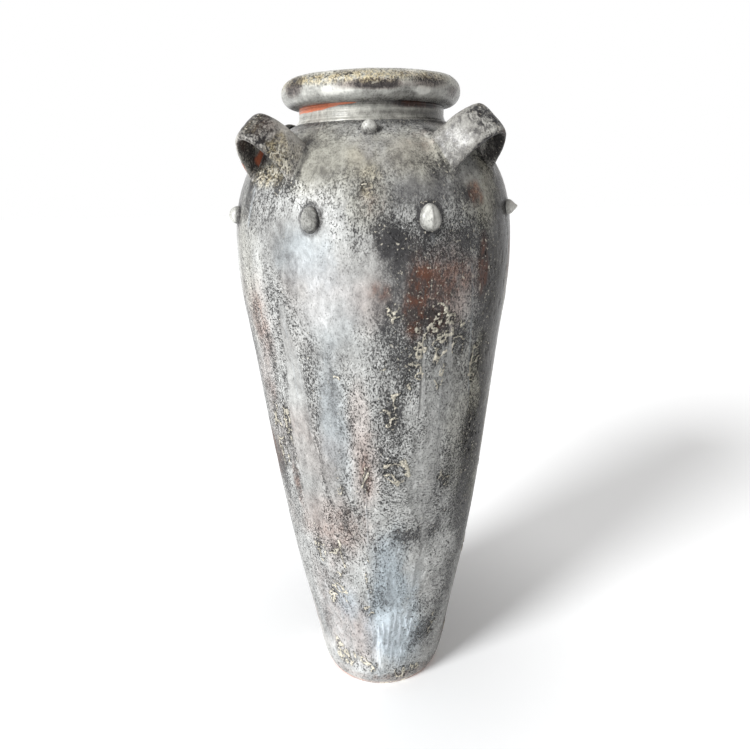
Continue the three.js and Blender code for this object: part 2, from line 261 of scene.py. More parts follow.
# Blue patches: the two on the upper left belly, at 700 and 760 mm, tint a painted highlight; the rest are
# blue-white paint.
BLUE_PAINT_AND_HIGHLIGHT_PATCHES = [
    (-20, 519, 24, 94, 0.55), (8, 134, 50, 110, 1), (5, 262, 30, 90, 0.9), (-22, 187, 22, 38, 0.6),
    (-16, 700, 50, 60, 0.3), (-30, 150, 70, 140, 0.35), (14, 230, 30, 50, 0.6),
    (-26, 760, 46, 40, 0.6),
]
WARM_PATCHES = [
    (-3, 700, 40, 40, 0.45), (-27, 343, 60, 62, 0.6), (-33, 150, 50, 110, 0.32),
    (-55, 665, 34, 60, 0.6), (-6, 437, 20, 60, 0.5), (-7, 535, 16, 50, 0.5), (25, 720, 60, 60, 0.8),
    (-12, 110, 20, 70, 0.4), (-60, 560, 30, 60, 0.4),
]
OLIVE_PATCHES = [
    (-22, 885, 80, 44, 0.8), (20, 890, 70, 36, 0.8), (62, 720, 60, 200, 1), (62, 500, 50, 160, 1),
    (-1, 845, 26, 50, 0.6), (46, 840, 50, 36, 0.8), (44, 500, 40, 140, 0.4), (-62, 760, 40, 110, 0.4),
]
FLAT_PATCHES = [
    (18, 388, 70, 60, 1), (50, 354, 40, 90, 1), (24, 470, 40, 60, 0.5), (40, 240, 60, 60, 0.7),
    (-48, 690, 60, 80, 0.8),
]
STRAW_PATCHES = [
    (-47, 866, 30, 16, 0.7), (-2, 846, 9, 12, 0.35), (0, 866, 16, 9, 0.2),
]

# Runs of pale paint: cover, smoothness and fray, then azimuth, height and half width from the top down
RUNS = [
    (0.65, 0.9, 0.25, [
        (-38.2, 704, 5), (-37.9, 685, 7), (-37.5, 646, 12), (-37.1, 600, 18), (-36.9, 554, 22),
        (-37.4, 504, 23), (-37.2, 454, 26), (-36.7, 402, 26), (-37.2, 330, 14),
    ]),
    (0.58, 0.8, 0.6, [
        (-18, 630, 9), (-19.7, 563, 20), (-20.4, 515, 21), (-21.2, 449, 18), (-20.6, 370, 12),
    ]),
    (0.64, 0.6, 0.5, [
        (28.6, 650, 4), (28.9, 610, 24), (29.8, 568, 42), (28.8, 521, 44), (26.5, 490, 38),
        (23.8, 460, 32), (22.2, 409, 28), (24.8, 340, 14),
    ]),
    (0.72, 0.9, 0.2, [(18.5, 655, 2), (19, 592, 4), (19.2, 530, 5)]),
    (0.68, 0.9, 0.2, [(29.3, 675, 3), (31.5, 600, 5)]),
    (0.62, 0.6, 0.7, [(24.8, 370, 10), (24.4, 300, 12), (23.4, 220, 9)]),
    (0.64, 0.7, 0.9, [(6, 320, 16), (6.4, 230, 30), (9.4, 152, 44), (12, 90, 46), (10, 40, 36)]),
    (0.96, 0.8, 0.9, [(-2.5, 170, 5), (-3, 120, 12), (-3, 70, 14), (-3, 24, 8)]),
    (0.82, 0.7, 1, [(12, 210, 8), (14, 150, 26), (15, 100, 28), (12, 44, 20)]),
]

# Marks on the rim, which lie one above the other on its roll
RIM_DARK = [
    (-56, 983, 24, 11, 1), (4, 978, 50, 7, 1.4), (38, 983, 30, 9, 0.9), (62, 974, 20, 8, 0.6),
    (-12, 993, 16, 4, 0.4), (22, 992, 20, 5, 0.35), (110, 984, 40, 8, 0.8), (165, 978, 60, 7, 1),
    (215, 986, 40, 8, 0.8), (262, 977, 40, 7, 0.9),
]
RIM_PALE = [
    (-23, 973, 36, 8, 1.1), (32, 971, 10, 4, 1), (-42, 968, 40, 5, 0.35), (10, 996, 60, 4, 0.25),
    (26, 994, 10, 6, 0.4), (130, 970, 40, 6, 0.6), (190, 992, 50, 6, 0.5), (240, 970, 50, 6, 0.6),
]
RIM_STRAW = [
    (-12, 988, 90, 8, 0.9), (-50, 990, 40, 7, 0.6), (40, 991, 40, 6, 0.5), (120, 989, 80, 7, 0.6),
    (200, 990, 90, 7, 0.8), (270, 988, 50, 8, 0.5),
]

# Thin runs of paint: azimuth and height at the top, the same at the bottom, width and strength
DRIPS = [
    (37.9, 750, 45.4, 530, 2.4, 0.85), (-6.4, 454, -7.9, 60, 2.4, 0.5), (-54.5, 856, -56, 800, 5, 0.8),
    (-38.5, 690, -36, 560, 3, 0.35), (-34, 640, -31, 500, 2.6, 0.25), (27.5, 570, 28, 500, 2.2, 0.35),
    (-2.5, 150, -3.5, 60, 5, 0.8), (-1, 118, -3.5, 28, 4, 0.8), (1.5, 168, 0.5, 112, 3.4, 0.5),
    (5, 150, 3.5, 92, 4.6, 0.5), (9, 178, 8, 122, 3.6, 0.45), (13, 160, 12, 96, 5, 0.5),
    (17.5, 184, 17, 134, 3.6, 0.45), (21, 152, 19.5, 94, 4.4, 0.45), (7.5, 108, 5.5, 44, 4.4, 0.5),
    (14.5, 98, 13, 46, 3.6, 0.45), (25.5, 142, 24.5, 96, 3.4, 0.4), (10.5, 84, 10, 34, 5, 0.4),
    (20.6, 792, 20.9, 780, 6, 0.5),
]

# Ridges of crust that stand alone, written in the same way
RIDGES = [
    (3, 704, 6.2, 691, 4.6, 1), (9.8, 705, 6.6, 691, 4.6, 1), (6.2, 692, 5.4, 677, 5.2, 1),
    (3, 472, 8, 462, 4.4, 1), (12, 470, 15, 440, 4.4, 1), (3, 440, 9, 426, 4.4, 1),
    (-5, 452, -8, 424, 4.6, 0.9), (-24, 322, -21, 268, 4.6, 1), (-21, 268, -26, 240, 4.4, 0.9),
]


def marks_behind(seed, count, low, high, half_width, half_height, strength):
    """Marks of one kind on the side that the photograph doesn't show."""
    draw = random.Random(seed)
    spreads = ((72, 288), (low, high), half_width, half_height, strength)
    return [tuple(draw.uniform(*spread) for spread in spreads) for _ in range(count)]


def run_behind(azimuth, height, half_width, half_height, cover):
    course = [
        (azimuth, height + half_height, 0.3 * half_width),
        (azimuth, height, half_width),
        (azimuth - 2, height - half_height, 0.5 * half_width),
    ]
    return (cover, 0.8, 0.5, course)


PALE_AND_HIGHLIGHT_PATCHES += marks_behind(1, 26, 80, 860, (12, 55), (40, 110), (0.1, 0.6))
DARK_AND_SHADE_PATCHES += marks_behind(2, 22, 80, 860, (12, 50), (25, 80), (0.2, 0.75))
RUST_PATCHES += marks_behind(3, 13, 60, 860, (12, 50), (15, 70), (0.3, 0.9))
CRUST_PATCHES += marks_behind(4, 26, 30, 760, (8, 24), (10, 36), (0.4, 1.0))
SMOOTH_PATCHES += marks_behind(5, 14, 300, 900, (14, 60), (30, 90), (0.4, 0.9))
BLUE_PAINT_AND_HIGHLIGHT_PATCHES += marks_behind(6, 8, 100, 800, (20, 45), (40, 100), (0.4, 1.0))
WARM_PATCHES += marks_behind(7, 9, 60, 860, (20, 60), (40, 110), (0.4, 0.8))
OLIVE_PATCHES += marks_behind(8, 6, 500, 900, (30, 70), (30, 90), (0.3, 0.7))
PIT_PATCHES += marks_behind(10, 16, 100, 860, (15, 60), (30, 100), (0.5, 1.0))
RUNS += [run_behind(*mark) for mark in marks_behind(12, 14, 250, 640, (6, 30), (50, 110), (0.6, 0.8))]
FLAT_PATCHES += marks_behind(9, 8, 150, 800, (30, 70), (40, 90), (0.4, 1.0))


# Noise in numpy, from one table of seeded random numbers that repeats in every direction

TABLE_SIDE = 64
TABLE = np.random.default_rng(7).uniform(-1, 1, (TABLE_SIDE,) * 3).astype(np.float32)
OCTAVE_FADE = 0.55
OCTAVE_SHIFT = 17.3


def noise(points, seed):
    """Smooth noise from -1 to 1, with features one unit across."""
    cell = np.floor(points).astype(np.int32)
    part = (points - cell).astype(np.float32)
    part = part * part * (3 - 2 * part)
    low = (cell + (seed * 19, seed * 31, seed * 47)) % TABLE_SIDE
    high = (low + 1) % TABLE_SIDE
    x0, y0, z0 = np.moveaxis(low, -1, 0)
    x1, y1, z1 = np.moveaxis(high, -1, 0)
    u, v, w = np.moveaxis(part, -1, 0)
    near = TABLE[x0, y0, z0] * (1 - u) + TABLE[x1, y0, z0] * u
    near = near * (1 - v) + (TABLE[x0, y1, z0] * (1 - u) + TABLE[x1, y1, z0] * u) * v
    far = TABLE[x0, y0, z1] * (1 - u) + TABLE[x1, y0, z1] * u
    far = far * (1 - v) + (TABLE[x0, y1, z1] * (1 - u) + TABLE[x1, y1, z1] * u) * v
    return near * (1 - w) + far * w


def fractal(points, size, seed, octaves=4, stretch=1):
    """Noise in octaves, about -1 to 1, with features up to this many millimetres, stretched upwards."""
    scaled = points / (size * MM * np.array((1, 1, stretch)))
    total, strength, reach = 0, 1, 0
    for octave in range(octaves):
        total = total + strength * noise(scaled * 2 ** octave + OCTAVE_SHIFT * octave, seed + octave)
        reach += strength
        strength *= OCTAVE_FADE
    return total / reach * 1.6


def ramp(value, low, high):
    """0 below low, 1 above high, smooth between."""
    t = np.clip((value - low) / (high - low), 0, 1)
    return t * t * (3 - 2 * t)


# Outline of the body

def spline(points, steps):
    """Uniform Catmull-Rom curve through points, the same as the part's outline."""
    count = len(points)
    t = np.linspace(0, count - 1, steps)
    low = np.minimum(t.astype(int), count - 2)
    w = (t - low)[:, None]
    p0, p1 = points[np.maximum(low - 1, 0)], points[low]
    p2, p3 = points[low + 1], points[np.minimum(low + 2, count - 1)]
    v0, v1 = (p2 - p0) / 2, (p3 - p1) / 2
    return (2 * p1 - 2 * p2 + v0 + v1) * w ** 3 + (-3 * p1 + 3 * p2 - 2 * v0 - v1) * w ** 2 + v0 * w + p1


FINE_OUTLINE = spline(OUTLINE, OUTLINE_STEPS)


def radius_at(height):
    return np.interp(height, FINE_OUTLINE[:, 1], FINE_OUTLINE[:, 0])


def slope_at(height):
    step = 1 * MM
    return (radius_at(height + step) - radius_at(height - step)) / (2 * step)


def even_rows(points, steps):
    """The same line with its points spread evenly along it."""
    length = np.concatenate([[0], np.cumsum(np.hypot(*np.diff(points, axis=0).T))])
    at = np.linspace(0, length[-1], steps)
    return np.stack([np.interp(at, length, points[:, i]) for i in (0, 1)], 1)


def normals_of(line):
    tangent = np.gradient(line, axis=0)
    tangent /= np.linalg.norm(tangent, axis=1, keepdims=True)
    return np.stack([tangent[:, 1], -tangent[:, 0]], 1)


def azimuth_of(points):
    return np.degrees(np.arctan2(points[..., 0], -points[..., 1]))


def turned_by(points, degrees):
    """Points turned about the axis, from the front to an azimuth."""
    cos, sin = math.cos(math.radians(degrees)), math.sin(math.radians(degrees))
    x, y, z = np.moveaxis(points, -1, 0)
    return np.stack([x * cos - y * sin, x * sin + y * cos, z], -1)


# Marks as fields over points of the surface

def turn_from(azimuths, centre):
    """Degrees from one azimuth to others, between -180 and 180."""
    return (azimuths - centre + 180) % 360 - 180


def around(points, azimuth):
    """How far points lie from an azimuth, along the round, in metres."""
    return np.radians(turn_from(azimuth_of(points), azimuth)) * np.hypot(points[..., 0], points[..., 1])


def patch_sum(points, patches, seed, frayed=0.4):
    """Soft-edged patches with frayed outlines, added up and capped at 1."""
    total = np.zeros(points.shape[:-1])
    wander = frayed * fractal(points, 36, seed, octaves=5, stretch=1.7)
    azimuth, radius = azimuth_of(points), np.hypot(points[..., 0], points[..., 1])
    for centre, height, half_width, half_height, strength in patches:
        across = np.radians(turn_from(azimuth, centre)) * radius / (half_width * MM)
        along = (points[..., 2] - height * MM) / (half_height * MM)
        near = (np.abs(across) < 2.2) & (np.abs(along) < 2.2)
        far = np.sqrt(across[near] ** 2 + along[near] ** 2) + wander[near]
        total[near] += strength * (1 - ramp(far, 0.35, 1.4))
    return np.clip(total, 0, 1)


def run_cover(points, cover, streak):
    """The paint's cover with the runs laid over it, and how smooth they leave it."""
    smooth = np.zeros(points.shape[:-1])
    ragged = fractal(points, 26, 141, octaves=5, stretch=2.4)
    height = points[..., 2] / MM
    for tone, smoothness, fray, course in RUNS:
        azimuth, level, half_width = np.array(course[::-1]).T
        across = np.abs(around(points, np.interp(height, level, azimuth)))
        share = 1 - across / (np.interp(height, level, half_width) * MM)
        rise = np.minimum(height - level[0], level[-1] - height) / 30
        near = ramp(np.minimum(share, rise) + fray * (ragged - 0.2), -0.05, 0.15 + 0.7 * fray)
        cover = cover + 0.85 * near * (tone + 0.16 * streak - cover)
        smooth = np.maximum(smooth, smoothness * near)
    return cover, smooth


def thin_lines(points, lines):
    """Thin lines from a higher to a lower spot, broken and rounded off at their ends."""
    total = np.zeros(points.shape[:-1])
    wander = 3.2 * MM * fractal(points, 26, 131, octaves=3, stretch=1.6)
    broken = 0.35 + 0.65 * ramp(fractal(points, 20, 132, octaves=3), -0.5, 0.4)
    height = points[..., 2] / MM
    for top_azimuth, top, low_azimuth, low, width, strength in lines:
        share = np.clip((height - low) / (top - low), 0, 1)
        across = around(points, low_azimuth + (top_azimuth - low_azimuth) * share) + wander
        ends = ramp(height, low - 4, low) * (1 - ramp(height, top - 12, top + 6))
        total += strength * ends * np.exp(-(across / (width * MM / 2)) ** 2)
    return np.clip(total, 0, 1) * broken


def lace(points, seed, width=0.20):
    """Branching ridges, from 0 between them to 1 on their crests."""
    return 1 - ramp(np.abs(fractal(points, 15, seed, stretch=1.25)), 0.02, width)


def crust_zone(points):
    return ramp(patch_sum(points, CRUST_PATCHES, 51, 0.5), 0.15, 0.6)


def ring_about(points, azimuth, height, half_width, half_height, reach, width):
    """A soft ring round a spot on the wall, its reach and width counted in half sizes of the spot."""
    across = around(points, azimuth) / half_width
    along = (points[..., 2] - height) / half_height
    return np.exp(-((np.sqrt(across ** 2 + along ** 2) - reach) / width) ** 2)


def surface_fields(points):
    """Values from 0 to 1 that the material turns into paint, stains and crusts, with some painted highlight
    and shade in the cover.
    """
    streak = fractal(points, 24, 15, stretch=5)
    zone = crust_zone(points)
    ridges = lace(points, CRUST_SEED)
    # Painted shade in a halo beside the raised crust ridges.
    shade_beside_ridges = np.clip(lace(points, CRUST_SEED, 0.5) - ridges, 0, 1)
    rust = patch_sum(points, RUST_PATCHES, 41)
    cloud, blotch = fractal(points, 190, 11, stretch=1.8), fractal(points, 34, 16, stretch=1.4)
    cover = BASE_COVER + 0.07 * cloud + 0.08 * streak + 0.06 * blotch
    # Pale patches are partly painted highlight and dark patches partly painted shade.
    cover += 0.42 * patch_sum(points, PALE_AND_HIGHLIGHT_PATCHES, 21) - 0.42 * patch_sum(points, DARK_AND_SHADE_PATCHES, 31)
    # Painted shade beside the crust ridges darkens the cover.
    cover -= 0.30 * zone * shade_beside_ridges + 0.20 * rust
    cover, run = run_cover(points, cover, streak)
    stray_rust = ramp(fractal(points, 70, 45, stretch=1.5), 0.5, 1.0)
    warmth = ramp(fractal(points, 120, 64, octaves=3), 0.1, 0.8)
    return {
        "cover": cover,
        "rust": rust * (1 - 0.7 * run) + 0.2 * stray_rust,
        "crust": np.maximum(zone * ridges, 1.6 * thin_lines(points, RIDGES)),
        "smooth": np.maximum(patch_sum(points, SMOOTH_PATCHES, 61), run),
        "blue": patch_sum(points, BLUE_PAINT_AND_HIGHLIGHT_PATCHES, 62),
        "warm": patch_sum(points, WARM_PATCHES, 63) + 0.3 * warmth,
        "olive": patch_sum(points, OLIVE_PATCHES, 65),
        "flat": patch_sum(points, FLAT_PATCHES, 66),
        "pits": 0.2 + 0.8 * patch_sum(points, PIT_PATCHES, 67) + 0.5 * zone,
        "straw": patch_sum(points, STRAW_PATCHES, 68),
        "drip": thin_lines(points, DRIPS),
        "clay": np.zeros(len(points)),
    }


# Mesh building

def grid_mesh(name, points, closed_along=False, fill_ends=False):
    """Quad mesh from a grid of points, rows by columns, with its faces outwards; columns wrap round."""
    rows, columns = points.shape[:2]
    index = np.arange(rows * columns).reshape(rows, columns)
    last = rows if closed_along else rows - 1
    lower = index[np.arange(last)]
    upper = index[(np.arange(last) + 1) % rows]
    quads = np.stack([lower, np.roll(lower, -1, 1), np.roll(upper, -1, 1), upper], -1).reshape(-1, 4)
    vertices = points.reshape(-1, 3)
    caps = np.empty((0, 3), int)
    if fill_ends:
        first, final = rows * columns, rows * columns + 1
        vertices = np.concatenate([vertices, points[0].mean(0)[None], points[-1].mean(0)[None]])
        start, end = index[0], index[-1]
        caps = np.concatenate([
            np.stack([np.full(columns, first), np.roll(start, -1), start], 1),
            np.stack([np.full(columns, final), end, np.roll(end, -1)], 1),
        ])
    triangles = np.concatenate([quads[:, [0, 1, 2]], quads[:, [0, 2, 3]], caps])
    a, b, c = (vertices[triangles[:, i]] for i in range(3))
    if (a * np.cross(b, c)).sum() < 0:
        quads, caps = quads[:, ::-1], caps[:, ::-1]
    mesh = bpy.data.meshes.new(name)
    mesh.from_pydata(vertices.tolist(), [], quads.tolist() + caps.tolist(), shade_flat=False)
    return place_in_scene(name, mesh)


def place_in_scene(name, data):
    made = bpy.data.objects.new(name, data)
    bpy.context.scene.collection.objects.link(made)
    return made


def coordinates(piece):
    flat = np.empty(len(piece.data.vertices) * 3, np.float32)
    piece.data.vertices.foreach_get("co", flat)
    return flat.reshape(-1, 3).astype(float)


def install(piece, fields, nodes, slot, material):
    """Stores the fields on the mesh's points for the material, and puts the piece in place of its nodes."""
    for name, values in fields.items():
        layer = piece.data.attributes.new(name, "FLOAT", "POINT")
        layer.data.foreach_set("value", np.clip(values, 0, 1).astype(np.float32))
    piece.data.materials.append(material)
    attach(piece, "root")
    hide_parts(*nodes)


# Body

def body_lift(points):
    """How far the body's skin stands off its outline, in metres."""
    height = points[..., 2]
    rings = np.sin(height / (1.5 * MM) + 4 * fractal(points, 160, 71, octaves=2, stretch=0.6))
    lift = 0.13 * rings * ramp(fractal(points, 90, 72, octaves=2), -0.5, 0.7)
    lift += 0.8 * fractal(points, 180, 73, octaves=3) + 0.30 * fractal(points, 18, 74, stretch=1.5)
    lift -= 0.35 * ramp(fractal(points, 7, 75, octaves=2, stretch=1.8), 0.25, 0.7)
    lift += crust_zone(points) * (1.5 * lace(points, CRUST_SEED) - 0.6)
    lift += 0.5 * thin_lines(points, DRIPS) + 1.2 * thin_lines(points, RIDGES)
    right_shoulder = (around(points, 72) / (90 * MM)) ** 2 + ((height - 868 * MM) / (50 * MM)) ** 2
    return (lift + 2.4 * np.exp(-right_shoulder) - 0.4) * MM


def root_swelling(points, azimuth, root_height):
    """Clay smeared up against a handle's leg, broader on its uphill side."""
    across = around(points, azimuth)
    along = (points[..., 2] - root_height + 4 * MM) / (27 * MM)
    uphill = (points[..., 2] - root_height - 20 * MM) / (14 * MM)
    leg = 6 * MM * np.exp(-(across / (15 * MM)) ** 2 - along ** 4)
    return leg + 3 * MM * np.exp(-(across / (22 * MM)) ** 2 - uphill ** 2)


def joined(points):
    """Where studs and legs meet the wall: the slip swelling up against them, and a line of painted shade and
    dark wash round them.
    """
    swelling = np.zeros(points.shape[:-1])
    line = np.zeros(points.shape[:-1])
    for azimuth, height, size, _ in STUDS.values():
        height, half_width = height * MM, size[0] * MM
        half_height = size[2] * MM * math.cos(math.atan(slope_at(height)))
        swelling += 1.3 * MM * ring_about(points, azimuth, height, half_width, half_height, 0.85, 0.35)
        # Painted shade and dark wash in a ring round each stud.
        line += ring_about(points, azimuth, height, half_width, half_height, 1.10, 0.20)
    for azimuth, pull in HANDLES.values():
        spread = math.degrees(pull["half_span"] / radius_at(pull["root_height"]))
        for leg in (azimuth - spread, azimuth + spread):
            swelling += root_swelling(points, leg, pull["root_height"])
            # Painted shade and dark wash round each handle leg.
            line += 0.7 * ring_about(points, leg, pull["root_height"], 11 * MM, 27 * MM, 1.05, 0.30)
    return swelling, np.clip(line, 0, 1)


def turned_grid(line):
    """A line of radius and height, turned about the axis."""
    turn = np.linspace(0, 2 * math.pi, ROUND_STEPS, endpoint=False)
    return np.stack([
        line[:, :1] * np.sin(turn), -line[:, :1] * np.cos(turn), np.repeat(line[:, 1:], ROUND_STEPS, 1),
    ], -1)


def flat_rows(start, end, height):
    return np.stack([np.linspace(start, end, FLAT_ROWS), np.full(FLAT_ROWS, height)], 1)


def body():
    """One shell: the sole, the outside, the hole's edge, the inside and the floor."""
    outside = even_rows(FINE_OUTLINE, BODY_ROWS)
    above_floor = outside[:, 1] > FLOOR_TOP + WALL
    inside = (outside - WALL * normals_of(outside))[above_floor]
    inside = inside[inside[:, 0] > HOLE_RADIUS][::-INSIDE_SPARSENESS]
    sole = flat_rows(AXIS_GAP, FOOT_EDGE, 0)
    top = outside[-1, 1]
    hole_edge = np.array([(HOLE_RADIUS + HOLE_BEVEL, top + 0.5 * MM), (HOLE_RADIUS, top - 1 * MM)])
    floor = flat_rows(inside[-1, 0], AXIS_GAP, FLOOR_TOP)
    grid = turned_grid(np.concatenate([sole, outside, hole_edge, inside, floor]))
    shell = slice(len(sole), len(sole) + len(outside))
    skin = grid[shell]
    swelling, line = joined(skin)
    lift = (body_lift(skin) + swelling) * (0.2 + 0.8 * ramp(outside[:, 1], 0, 12 * MM)[:, None])
    moved = skin + turned_grid(normals_of(outside)) * lift[..., None]
    tight = np.minimum(1, LARGEST_RADIUS / np.hypot(moved[..., 0], moved[..., 1]))
    moved[..., :2] *= tight[..., None]
    moved[..., 2] = np.maximum(moved[..., 2], 0)
    grid[shell] = moved
    # Painted shade, partly dark wash, round the studs and legs and under the neck's ledge.
    seam_shade_and_wash = np.zeros(grid.shape[:2])
    seam_shade_and_wash[shell] = line * (0.5 + 0.5 * ramp(fractal(moved, 12, 94, octaves=3), -0.6, 0.3))
    seam_shade_and_wash[shell] += 0.7 * np.exp(-((moved[..., 2] - (NECK_BASE + 2 * MM)) / (4 * MM)) ** 2)
    piece = grid_mesh("body_shell", grid, fill_ends=True)
    return piece, body_fields(coordinates(piece), seam_shade_and_wash.ravel())


def body_fields(points, seam_shade_and_wash):
    """The shared fields, with painted shade and dark wash where pieces meet, and bare clay and crust at the
    foot.
    """
    fields = surface_fields(points)
    # Painted shade and dark wash where pieces meet.
    fields["cover"][:seam_shade_and_wash.size] -= 0.34 * seam_shade_and_wash
    sole_edge = 1 - ramp(points[:, 2], 1.5 * MM, 7 * MM + 3 * MM * fractal(points, 30, 91, octaves=3))
    fields["clay"] = 0.6 * sole_edge * ramp(fractal(points, 40, 92, octaves=3), -0.2, 0.5)
    foot = 1 - ramp(points[:, 2], 3 * MM, 14 * MM)
    fields["crust"] = np.maximum(fields["crust"], 0.9 * foot * lace(points, 95))
    fields["cover"] += 0.12 * foot
    fields["warm"] = np.maximum(fields["warm"], foot)
    return fields


# Neck and rim

def neck():
    line = np.array([
        (NECK_BORE, NECK_BASE), (NECK_RADIUS + 5 * MM, NECK_BASE),
        (NECK_RADIUS + 4.5 * MM, NECK_BASE + 5 * MM), (NECK_RADIUS + 1.5 * MM, NECK_BASE + 8 * MM),
        (NECK_RADIUS, NECK_BASE + 13 * MM),
        (NECK_RADIUS, NECK_TOP), (NECK_BORE, NECK_TOP),
    ])
    grid = turned_grid(even_rows(line, NECK_ROWS))
    out = turned_grid(np.array([(1.0, 0.0)]))
    rings = 0.12 * MM * np.sin(grid[..., 2] / (0.55 * MM) + 2 * fractal(grid, 90, 102, octaves=2))
    grid = grid + out * (0.5 * MM * fractal(grid, 26, 101) + rings)[..., None]
    piece = grid_mesh("neck", grid, closed_along=True)
    return piece, neck_fields(coordinates(piece))


def neck_fields(points):
    """Banded grey wash with a painted glint at the front left and painted shade towards the right and under
    the rim, bare clay showing at the upper left and a rusty strip at the right.
    """
    fields = surface_fields(points)
    azimuth, height = azimuth_of(points), points[:, 2]
    # A painted glint on the front left of the neck.
    pale = 0.10 * ramp(-np.abs(azimuth + 16), -24, 0)
    bands = fractal(points, 60, 103, stretch=0.08)
    # Painted shade: the neck darker towards the right, away from the light.
    fields["cover"] = 0.66 + 0.16 * bands + pale - 0.22 * ramp(azimuth, 5, 60)
    # Painted shade under the rim's roll.
    fields["cover"] -= 0.30 * ramp(height, 953 * MM, 960 * MM)
    for name, value in {"smooth": 1.0, "pits": 0.1, "olive": 0.5}.items():
        fields[name][:] = value
    thickness = 11 * MM * np.clip((-9 - azimuth) / 38, 0, 1) ** 0.55
    ragged = 1.2 * MM * fractal(points, 16, 104, octaves=3)
    fields["clay"] = ramp(height - (961 * MM - thickness) + ragged, 0, 1.2 * MM) * ramp(azimuth, -86, -70)
    fields["clay"] *= azimuth < -9
    strip = ramp(height, 950 * MM, 956 * MM) * (1 - ramp(np.abs(azimuth - 38), 12, 24))
    fields["rust"] = 0.5 * strip
    fields["cover"] -= 0.45 * strip
    return fields


def rim():
    angle = np.linspace(0, 2 * math.pi, RIM_ROWS, endpoint=False)
    round_section = np.stack([np.cos(angle), np.sin(angle)], 1)
    centre = CAD_BOX[1][2] - RIM_ROLL
    grid = turned_grid((RIM_RADIUS, centre) + (RIM_ROLL - 0.8 * MM) * round_section)
    lift = 0.75 * np.clip(fractal(grid, 60, 111, octaves=3), -1, 1)
    lift += 0.25 * np.clip(fractal(grid, 12, 112, octaves=3), -1, 0)
    grid = grid + turned_grid(round_section) * lift[..., None] * MM
    grid[..., 2] = np.minimum(grid[..., 2], CAD_BOX[1][2])
    piece = grid_mesh("rim", grid, closed_along=True)
    return piece, rim_fields(coordinates(piece), centre)


def rim_fields(points, centre):
    """Brushed grey below, with painted shade on the underside, speckled with straw and dark wax above."""
    fields = surface_fields(points)
    height = points[:, 2]
    upper = ramp(height, centre - 4 * MM, centre + 8 * MM)
    fields["cover"] = 0.66 + 0.10 * upper + 0.16 * fractal(points, 50, 113, stretch=0.12)
    fields["cover"] += 0.38 * patch_sum(points, RIM_PALE, 116, 0.6)
    fields["cover"] -= 0.42 * patch_sum(points, RIM_DARK, 117, 0.7)
    # Painted shade on the rim's underside.
    fields["cover"] -= 0.25 * ramp(-height, -965 * MM, -958 * MM)
    fields["straw"] = patch_sum(points, RIM_STRAW, 118)
    fields["smooth"] = 0.85 - 0.65 * upper
    fields["olive"] = 0.3 + 0.3 * upper
    fields["pits"] = 0.2 + 0.7 * upper
    fields["warm"] = 0.8 * patch_sum(points, RIM_DARK, 117)
    fields["rust"] = fields["blue"] = fields["crust"] = np.zeros(len(points))
    return fields


# Handles

def signed_power(value, power):
    return np.sign(value) * np.abs(value) ** power


def strap_marks(marks, share, turn, wander):
    """Soft marks on a strap, placed by the share of its length and the angle round its section."""
    total = 0
    for place, angle, half_length, half_angle, strength in marks:
        off = turn_from(np.degrees(turn), angle)
        far = np.sqrt(((share - place) / half_length) ** 2 + (off / half_angle) ** 2) + 0.4 * wander
        total = total + strength * (1 - ramp(far, 0.35, 1.3))
    return total


def strap_grid(pull):
    """A strap arched over the front, its legs run on into the body, with each point's share and turn."""
    roots = len(ROOT_DEPTHS)

    def run_on(values):
        return np.pad(values, ((roots, roots), (0, 0)), mode="edge")

    power = 2 / pull["roundness"]
    along = run_on(np.linspace(-1, 1, STRAP_STEPS)[:, None] * math.pi / 2)
    turn = np.linspace(0, 2 * math.pi, STRAP_SIDES, endpoint=False)[None]
    across = pull["half_span"] * signed_power(np.sin(along), power)
    lift = np.abs(np.cos(along)) ** power
    rise = pull["rise"] * lift
    rise[:roots] = -ROOT_DEPTHS
    rise[-roots:] = -ROOT_DEPTHS[::-1]
    root = math.sqrt(radius_at(pull["root_height"]) ** 2 - pull["half_span"] ** 2)
    centre = np.stack([
        across,
        -root - rise * math.cos(pull["rise_tilt"]),
        pull["root_height"] + rise * math.sin(pull["rise_tilt"]),
    ], -1)
    tilt = HANDLE_ROOT_TILT + (HANDLE_CROWN_TILT - HANDLE_ROOT_TILT) * lift
    broad = np.stack([0 * tilt, -np.sin(tilt), -np.cos(tilt)], -1)
    up = np.stack([0 * tilt, -np.cos(tilt), np.sin(tilt)], -1)
    side = np.stack([np.ones_like(tilt), 0 * tilt, 0 * tilt], -1)
    lean = np.arctan2(np.cos(along) * pull["half_span"], pull["rise"] * np.sin(along))
    thin = side * np.cos(lean)[..., None] + up * np.sin(lean)[..., None]
    spread = np.clip(1 - lift, 0, 1) ** 6
    width = pull["root_width"] + (pull["crown_width"] - pull["root_width"]) * lift
    half_width = width / 2 * (1 + 0.12 * spread) - 0.5 * MM
    half_thickness = HANDLE_THICKNESS / 2 * (1 + 0.5 * spread) - 0.4 * MM
    grid = centre + broad * (half_width * signed_power(np.cos(turn), 0.55))[..., None]
    grid = grid + thin * (half_thickness * signed_power(np.sin(turn), 0.9))[..., None]
    share = np.sin(along) * np.ones_like(turn)
    return grid, share, turn + 0 * share


def handle(name, azimuth, pull, look, seed):
    """A pulled strap with a slightly uneven surface."""
    grid, share, turn = strap_grid(pull)
    grid = turned_by(grid, azimuth)
    normal = np.cross(np.gradient(grid, axis=0), np.gradient(grid, axis=1))
    normal /= np.maximum(np.linalg.norm(normal, axis=-1, keepdims=True), 1e-12)
    if ((grid - grid.mean(1, keepdims=True)) * normal).sum() < 0:
        normal = -normal
    wave = 0.6 * fractal(grid, 36, seed, octaves=3) + 0.3 * fractal(grid, 9, seed + 7, octaves=3) - 0.5
    piece = grid_mesh(name + "_strap", grid + normal * wave[..., None] * MM, fill_ends=True)
    return piece, handle_fields(coordinates(piece), share.ravel(), turn.ravel(), look, seed)


